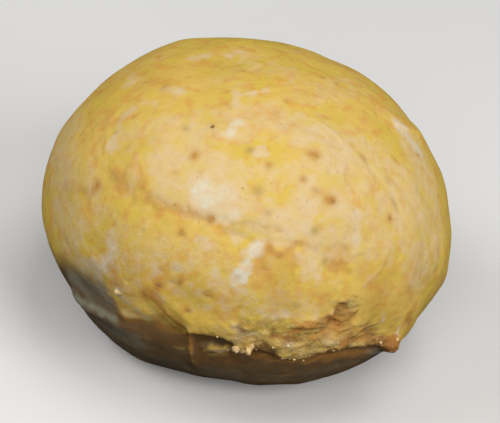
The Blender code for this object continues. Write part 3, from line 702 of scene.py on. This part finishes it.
def flake_shape(tree, way, size, draw):
    """One bran flake: an uneven disc that follows the crust, closed below it."""
    way = np.array(way)
    side = np.cross(way, NOT_OUTWARD)
    side /= np.linalg.norm(side)
    other = np.cross(way, side)
    shifts = draw.uniform(-CORNER_SHIFT, CORNER_SHIFT, FLAKE_SIDES)
    turns = (np.arange(FLAKE_SIDES) + shifts) * math.tau / FLAKE_SIDES
    slim = draw.uniform(*SLIMNESS)
    spin = draw.uniform(0, math.pi)
    radii = size / 2 * draw.uniform(*UNEVENNESS, FLAKE_SIDES)
    along, aside = radii * np.cos(turns), radii * np.sin(turns) * slim
    across = along * math.cos(spin) - aside * math.sin(spin)
    up = along * math.sin(spin) + aside * math.cos(spin)
    edge = np.stack((across, up), axis=1)
    offsets = np.concatenate(([(0, 0)], edge * FLAKE_CAP, edge))
    lifts = np.array([FLAKE_THICKNESS] * (FLAKE_SIDES + 1) + [-FLAKE_THICKNESS / 2] * FLAKE_SIDES)
    places = []
    for (right, ahead), lift in zip(offsets, lifts):
        aim = way + (side * right + other * ahead) / MIDDLE_REACH
        place, facing = set_on(tree, aim)
        places.append(place + facing * lift * MM)
    root, facing = set_on(tree, way)
    places.append(root - facing * FLAKE_ROOT * MM)
    return np.array(places)


def flake_faces():
    """The triangles of a flake: a cap, its bevelled edge and a cone down to its root."""
    inner = np.arange(FLAKE_SIDES) + 1
    outer = inner + FLAKE_SIDES
    after_inner, after_outer = np.roll(inner, -1), np.roll(outer, -1)
    middle = np.zeros(FLAKE_SIDES, int)
    root = middle + 2 * FLAKE_SIDES + 1
    rows = (
        (middle, inner, after_inner),
        (inner, outer, after_outer),
        (inner, after_outer, after_inner),
        (outer, root, after_outer),
    )
    return np.concatenate([np.stack(row, axis=1) for row in rows])


def join_copies(shapes, faces):
    """The places of many like shapes in one list, and their faces."""
    size = len(shapes[0])
    joined = np.concatenate([faces + size * number for number in range(len(shapes))])
    return np.concatenate(shapes), joined


def bran_flakes(tree):
    draw = np.random.default_rng(FLAKE_SEED)
    flakes = [(direction(f.azimuth, f.elevation), f.size, f.tone) for f in NAMED_FLAKES]
    for way in scattered_ways(draw, SCATTERED_FLAKES):
        if way[2] < LOWEST_FLAKE:
            continue
        size = LEAST_FLAKE + (MOST_FLAKE - LEAST_FLAKE) * draw.uniform() ** FEW_LARGE_FLAKES
        flakes.append((way, size, MOST_SCATTERED_TONE * draw.uniform() ** FEW_DARK_FLAKES))
    shapes = [flake_shape(tree, way, size, draw) for way, size, _ in flakes]
    places, faces = join_copies(shapes, flake_faces())
    tones = np.repeat([tone for _, _, tone in flakes], len(shapes[0]))
    return new_mesh("bran_flakes", places, faces, {"tone": tones})


def crumb_shape(tree, way, size, points, draw):
    """One crumb: a knobbly ball sunk a little into the crust."""
    place, facing = set_on(tree, way)
    kind = Noise(MIDDLE_REACH * CRUMB_KNOB_SIZE, CRUMB_KNOBS, draw.uniform(*KNOB_SEEDS))
    knobs = 1 + rough(points, kind)
    stretch = draw.uniform(*CRUMB_STRETCH, 3)
    ball = points * knobs[:, None] * stretch * size / 2
    return place + (ball + facing * size * (0.5 - CRUMB_SUNK)) * MM


def loose_crumbs(tree):
    draw = np.random.default_rng(CRUMB_SEED)
    crumbs = [(direction(c.azimuth, c.elevation), c.size, c.paleness) for c in NAMED_CRUMBS]
    for azimuth in draw.uniform(*CRUMB_AZIMUTHS, RIM_CRUMBS):
        rim = line_at(RIM, np.array([azimuth]))[0][0]
        above = math.degrees(abs(draw.normal(0, CRUMB_SPREAD)) / MIDDLE_REACH)
        size = LEAST_CRUMB + (MOST_CRUMB - LEAST_CRUMB) * draw.uniform() ** FEW_LARGE_CRUMBS
        crumbs.append((direction(azimuth, rim + above), size, draw.uniform(0, PALEST_RIM_CRUMB)))
    points, squares = cube_skin(CRUMB_CELLS)
    points = points / np.linalg.norm(points, axis=1)[:, None]
    shapes = [crumb_shape(tree, way, size, points, draw) for way, size, _ in crumbs]
    places, faces = join_copies(shapes, squares)
    paleness = np.repeat([pale for _, _, pale in crumbs], len(points))
    return new_mesh("crumbs", places, faces, {"paleness": paleness})


# ---- Materials ----

GOLDEN = (0.7, 0.468, 0.098, 1)
YELLOW = (0.68, 0.472, 0.075, 1)
AMBER_SKIN = (0.67, 0.36, 0.072, 1)
FILM = (0.7, 0.52, 0.28, 1)
FRECKLE = (0.5, 0.27, 0.12, 1)
FLOUR_WHITE = (0.69, 0.63, 0.46, 1)
ORANGE_BROWN = (0.5, 0.22, 0.045, 1)
STAIN_ORANGE = (0.5, 0.25, 0.05, 1)
SPOT_OLIVE = (0.42, 0.28, 0.085, 1)
DEEP_BROWN = (0.15, 0.07, 0.02, 1)
TORN_CRUMB = (0.54, 0.37, 0.13, 1)
TORN_OLIVE = (0.33, 0.245, 0.085, 1)
TORN_PALE = (0.62, 0.47, 0.24, 1)
TORN_AMBER = (0.4, 0.18, 0.026, 1)
# The underside's browns are darker than the crust's own colour, partly as painted shade of its downward
# faces.
UNDERSIDE_BROWN = (0.18, 0.115, 0.05, 1)
UNDERSIDE_SHADE = (0.13, 0.08, 0.034, 1)
UNDERSIDE_FLOUR = (0.27, 0.255, 0.18, 1)
UNDERSIDE_RUST = (0.15, 0.075, 0.024, 1)
BRAN_OCHRE = (0.56, 0.31, 0.065, 1)
BRAN_RED = (0.47, 0.25, 0.07, 1)
BRAN_DARK = (0.27, 0.16, 0.055, 1)
CRUMB_TAN = (0.55, 0.33, 0.115, 1)
CRUMB_PALE = (0.84, 0.63, 0.33, 1)
CRUST_ROUGHNESS, BRAN_ROUGHNESS, CRUMB_ROUGHNESS, FLOOR_ROUGHNESS = 0.62, 0.55, 0.8, 0.9
BREAD_SHINE = 0.22
BREAD_GLOW = (1.0, 0.45, 0.15)  # how far light spreads in bread, by colour, in mm
BREAD_GLOW_SHARE = 0.12

# Patches of a colour: their noise's size in mm, its detail and shift, where between 0 and 1
# they set in and are full, and how strong they get.
Patches = namedtuple("Patches", "colour size detail shift low high most")
SKIN_PATCHES = (
    Patches(YELLOW, 9, 3.0, (0.3, 0, 0), 0.4, 0.6, 1.0),
    Patches(AMBER_SKIN, 2.6, 3.0, (0, 0.7, 0), 0.48, 0.66, 0.8),
)
FRECKLES = (Patches(FRECKLE, 1.0, 1.0, (0.9, 0, 0), 0.64, 0.74, 0.22),)
TORN_PATCHES = (
    Patches(TORN_OLIVE, 1.7, 3.0, (0, 0, 0), 0.44, 0.6, 1.0),
    Patches(TORN_PALE, 1.2, 2.0, (0.2, 0, 0), 0.56, 0.7, 0.7),
    Patches(TORN_AMBER, 1.3, 3.0, (0, 0.4, 0), 0.52, 0.66, 1.0),
    # deep brown patches: painted shade of the crumb's small holes
    Patches(DEEP_BROWN, 0.8, 2.0, (0, 0, 0.6), 0.6, 0.74, 0.6),
)
TORN_SQUASH = (0.85, 0.85, 0.95)
UNDERSIDE_PATCHES = (
    Patches(UNDERSIDE_SHADE, 5, 3.0, (0, 0, 0), 0.3, 0.7, 1.0),
    Patches(UNDERSIDE_RUST, 1.5, 3.0, (0, 0, 0.3), 0.46, 0.62, 0.6),
)

# Mottling of the film: its noise's size in mm, detail, distortion and shift, and its strength.
Mottle = namedtuple("Mottle", "size detail distortion shift strength")
COARSE_MOTTLE = Mottle(2.4, 3.0, 0.4, (0, 0, 0), 0.85)
FINE_MOTTLE = Mottle(1.9, 1.5, 0.3, (0.5, 0, 0.2), 1.1)
# From how much of it a layer sets in and is full, and how strong it gets.
Layer = namedtuple("Layer", "low high most", defaults=(1.0,))
FILM_LAYER, WHITE_LAYER = Layer(0.05, 0.75), Layer(0.7, 1.15)
RUSTY_LAYER = Layer(-0.055, -0.22, 0.6)
BROWNED_LAYER, HOLLOW_SHADE_LAYER = Layer(0.0, 0.9), Layer(0.1, 0.9, 0.5)
TORN_LAYER, FLOURED_LAYER = Layer(0.1, 1.0, 0.8), Layer(0.1, 0.9)
RED_BRAN_LAYER, DARK_BRAN_LAYER = Layer(0.1, 0.55), Layer(0.6, 1.0)
STAIN_GRAIN, STAIN_DETAIL = 1.3, 3.0  # of the patchiness of browning and spots
STAIN_RANGE, STAIN_LEAST = 0.5, 0.75
SHADED_MOST = 0.9

Bump = namedtuple("Bump", "size detail strength distance")
CRUMBLY_BUMP = Bump(0.9, 4.0, 0.8, 0.7)
FINE_BUMP = Bump(0.5, 3.0, 0.5, 0.12)
BROAD_BUMP = Bump(1.8, 2.0, 0.6, 0.25)


def put(tree, kind, inputs=(), **settings):
    """Adds a node with its settings. An input is a value, or a socket that it links to."""
    node = tree.nodes.new(kind)
    for name, value in settings.items():
        setattr(node, name, value)
    for key, value in dict(inputs).items():
        if isinstance(value, bpy.types.NodeSocket):
            tree.links.new(value, node.inputs[key])
        else:
            node.inputs[key].default_value = value
    return node


def field(tree, name):
    return put(tree, "ShaderNodeAttribute", attribute_name=name).outputs["Fac"]


def mixed(tree, share, first, second):
    """The second colour over the first, by a share."""
    inputs = {0: share, 6: first, 7: second}
    return put(tree, "ShaderNodeMix", inputs, data_type="RGBA").outputs[2]


def maths(tree, operation, first, second=0.0, third=0.0):
    inputs = {0: first, 1: second, 2: third}
    return put(tree, "ShaderNodeMath", inputs, operation=operation).outputs[0]


def spread(tree, value, layer):
    """A value turned smoothly into a layer's strength, from 0 to its most."""
    inputs = {0: value, 1: layer.low, 2: layer.high, 3: 0.0, 4: layer.most}
    return put(tree, "ShaderNodeMapRange", inputs, interpolation_type="SMOOTHSTEP").outputs[0]


def grain(tree, size, detail=2.0, distortion=0.0, shift=(0, 0, 0), squash=(1, 1, 1)):
    """Noise over the surface, with features of this size in mm."""
    place = put(tree, "ShaderNodeTexCoord").outputs["Object"]
    inputs = {0: place, 1: squash, 2: shift}
    moved = put(tree, "ShaderNodeVectorMath", inputs, operation="MULTIPLY_ADD").outputs[0]
    inputs = {"Vector": moved, "Scale": 1 / (size * MM), "Detail": detail, "Distortion": distortion}
    return put(tree, "ShaderNodeTexNoise", inputs).outputs["Fac"]


def patched(tree, colour, kinds, squash=(1, 1, 1)):
    """A colour under patches of others, one kind over the other."""
    for kind in kinds:
        noisy = grain(tree, kind.size, kind.detail, shift=kind.shift, squash=squash)
        colour = mixed(tree, spread(tree, noisy, kind), colour, kind.colour)
    return colour


def mottled(tree, kind):
    """Noise about 0 of one kind of mottling."""
    noisy = grain(tree, kind.size, kind.detail, kind.distortion, kind.shift)
    about_zero = maths(tree, "SUBTRACT", noisy, 0.5)
    return maths(tree, "MULTIPLY", about_zero, kind.strength)


def principled(name):
    """A new material, and its tree and shader."""
    material = bpy.data.materials.new(name)
    material.use_nodes = True
    return material, material.node_tree, material.node_tree.nodes["Principled BSDF"]


def bread_body(shader, roughness):
    shader.inputs["Roughness"].default_value = roughness
    shader.inputs["Specular IOR Level"].default_value = BREAD_SHINE
    shader.inputs["Subsurface Weight"].default_value = BREAD_GLOW_SHARE
    shader.inputs["Subsurface Radius"].default_value = BREAD_GLOW
    shader.inputs["Subsurface Scale"].default_value = MM


def skin_colour(tree):
    """Golden skin under its pale film, before it is browned."""
    golden = patched(tree, GOLDEN, SKIN_PATCHES)
    fine = maths(tree, "MULTIPLY", mottled(tree, FINE_MOTTLE), field(tree, "mottled"))
    flour = maths(tree, "ADD", field(tree, "flour"), mottled(tree, COARSE_MOTTLE))
    flour = maths(tree, "ADD", flour, fine)
    golden = mixed(tree, spread(tree, fine, RUSTY_LAYER), golden, AMBER_SKIN)
    film = mixed(tree, spread(tree, flour, FILM_LAYER), golden, FILM)
    white = mixed(tree, spread(tree, flour, WHITE_LAYER), film, FLOUR_WHITE)
    return patched(tree, white, FRECKLES)


def browned(tree, colour):
    """A colour browned where the skin is thin, spotted, and with deep brown painted shade in its pits
    and recesses.
    """
    noisy = grain(tree, STAIN_GRAIN, STAIN_DETAIL)
    patchy = maths(tree, "MULTIPLY_ADD", noisy, STAIN_RANGE, STAIN_LEAST)
    browning = maths(tree, "MULTIPLY", field(tree, "browning"), patchy)
    colour = mixed(tree, spread(tree, browning, BROWNED_LAYER), colour, ORANGE_BROWN)
    for name, spot in (("stained", STAIN_ORANGE), ("greyed", SPOT_OLIVE)):
        colour = mixed(tree, maths(tree, "MULTIPLY", field(tree, name), patchy), colour, spot)
    pits = spread(tree, field(tree, "hollow_shade"), HOLLOW_SHADE_LAYER)
    shaded = maths(tree, "MULTIPLY", field(tree, "shaded"), SHADED_MOST)
    return mixed(tree, maths(tree, "MAXIMUM", pits, shaded), colour, DEEP_BROWN)


def underside_colour(tree):
    baked = patched(tree, UNDERSIDE_BROWN, UNDERSIDE_PATCHES)
    return mixed(tree, spread(tree, field(tree, "flour"), FLOURED_LAYER), baked, UNDERSIDE_FLOUR)


def bumped(tree, bump, under=None, where=None):
    """The shading normal of a bump, over the one under it and only where a field says."""
    height = grain(tree, bump.size, bump.detail)
    if where is not None:
        height = maths(tree, "MULTIPLY", where, height)
    inputs = {"Strength": bump.strength, "Distance": bump.distance * MM, "Height": height}
    if under is not None:
        inputs["Normal"] = under
    return put(tree, "ShaderNodeBump", inputs).outputs[0]


def crust_material():
    material, tree, shader = principled("crust")
    torn = field(tree, "torn")
    crumb = patched(tree, TORN_CRUMB, TORN_PATCHES, TORN_SQUASH)
    skin = mixed(tree, spread(tree, torn, TORN_LAYER), skin_colour(tree), crumb)
    colour = mixed(tree, field(tree, "underside"), skin, underside_colour(tree))
    tree.links.new(browned(tree, colour), shader.inputs["Base Color"])
    bread_body(shader, CRUST_ROUGHNESS)
    crumbly = bumped(tree, CRUMBLY_BUMP, where=torn)
    fine = bumped(tree, FINE_BUMP, crumbly)
    tree.links.new(bumped(tree, BROAD_BUMP, fine), shader.inputs["Normal"])
    return material


def bran_material():
    material, tree, shader = principled("bran")
    tone = field(tree, "tone")
    colour = mixed(tree, spread(tree, tone, RED_BRAN_LAYER), BRAN_OCHRE, BRAN_RED)
    colour = mixed(tree, spread(tree, tone, DARK_BRAN_LAYER), colour, BRAN_DARK)
    tree.links.new(colour, shader.inputs["Base Color"])
    bread_body(shader, BRAN_ROUGHNESS)
    return material


def crumb_material():
    material, tree, shader = principled("crumb")
    paleness = spread(tree, field(tree, "paleness"), Layer(0.0, 1.0))
    tree.links.new(mixed(tree, paleness, CRUMB_TAN, CRUMB_PALE), shader.inputs["Base Color"])
    bread_body(shader, CRUMB_ROUGHNESS)
    return material


# ---- Floor, light and camera ----

CAMERA_TILT, CAMERA_ROLL = 33, -10
CAMERA_DISTANCE = 350 * MM
PIXELS_PER_MM = 4.95
IMAGE_WIDTH, IMAGE_HEIGHT = 500, 423
RING_AT = (247.5, 215.0)  # where the middle of the ring stands in the picture, in pixels
SENSOR = 36.0
FLOOR_REACH = 3.0
FLOOR_COLOUR = (0.8, 0.79, 0.77, 1)
SKY_COLOUR, SKY_STRENGTH = (0.95, 0.97, 1.0, 1), 0.04
LAMP_SIZE = 0.7
Lamp = namedtuple("Lamp", "name place power")
LAMPS = (
    Lamp("overhead", (0.3, 0.0, 1.08), 4.1),
    Lamp("left", (-0.9, -0.1, 0.68), 5.2),
    Lamp("front", (-0.1, -0.9, 0.68), 5.2),
    Lamp("right", (0.75, -0.6, 0.6), 6.4),
)


def pale_floor():
    mesh = bpy.data.meshes.new("floor")
    signs = ((-1, -1), (1, -1), (1, 1), (-1, 1))
    corners = [(x * FLOOR_REACH, y * FLOOR_REACH, 0) for x, y in signs]
    mesh.from_pydata(corners, [], [(0, 1, 2, 3)])
    floor = bpy.data.objects.new("floor", mesh)
    bpy.context.scene.collection.objects.link(floor)
    material, _, shader = principled("floor")
    shader.inputs["Base Color"].default_value = FLOOR_COLOUR
    shader.inputs["Roughness"].default_value = FLOOR_ROUGHNESS
    mesh.materials.append(material)
    floor.visible_diffuse = False
    floor.visible_glossy = False


def soft_light(lamp):
    """A square lamp that faces the roll."""
    light = bpy.data.lights.new(lamp.name, "AREA")
    light.size, light.energy = LAMP_SIZE, lamp.power
    lit = bpy.data.objects.new(lamp.name, light)
    bpy.context.scene.collection.objects.link(lit)
    lit.location = lamp.place
    lit.rotation_euler = (RING_MIDDLE - Vector(lamp.place)).to_track_quat("-Z", "Y").to_euler()


def light_the_room():
    for lamp in LAMPS:
        soft_light(lamp)
    world = bpy.data.worlds.new("room")
    world.use_nodes = True
    background = world.node_tree.nodes["Background"]
    background.inputs["Color"].default_value = SKY_COLOUR
    background.inputs["Strength"].default_value = SKY_STRENGTH
    bpy.context.scene.world = world


def place_camera():
    camera = bpy.data.objects.new("camera", bpy.data.cameras.new("camera"))
    bpy.context.scene.collection.objects.link(camera)
    bpy.context.scene.camera = camera
    tilt, roll = math.radians(CAMERA_TILT), math.radians(CAMERA_ROLL)
    ahead = Vector((0, math.cos(tilt), -math.sin(tilt)))
    level_right = Vector((1, 0, 0))
    level_up = level_right.cross(ahead)
    right = level_right * math.cos(roll) - level_up * math.sin(roll)
    up = level_right * math.sin(roll) + level_up * math.cos(roll)
    across = (IMAGE_WIDTH / 2 - RING_AT[0]) / PIXELS_PER_MM * MM
    above = (RING_AT[1] - IMAGE_HEIGHT / 2) / PIXELS_PER_MM * MM
    aim = Vector((0, 0, RING_MIDDLE.z)) + right * across + up * above
    camera.matrix_world = Matrix((right, up, -ahead)).transposed().to_4x4()
    camera.location = aim - ahead * CAMERA_DISTANCE
    camera.data.sensor_width = SENSOR
    camera.data.lens = PIXELS_PER_MM * CAMERA_DISTANCE / MM * SENSOR / IMAGE_WIDTH


def dress_roll():
    crust = crust_skin(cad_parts["bread_roll"])
    crust.data.materials.append(crust_material())
    tree = surface_tree(crust)
    bran = bran_flakes(tree)
    bran.data.materials.append(bran_material())
    crumbs = loose_crumbs(tree)
    crumbs.data.materials.append(crumb_material())
    for piece in (crust, bran, crumbs):
        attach(piece, "root")
    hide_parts("bread_roll")


dress_roll()
pale_floor()
light_the_room()
place_camera()
bpy.context.scene.view_settings.view_transform = "Standard"
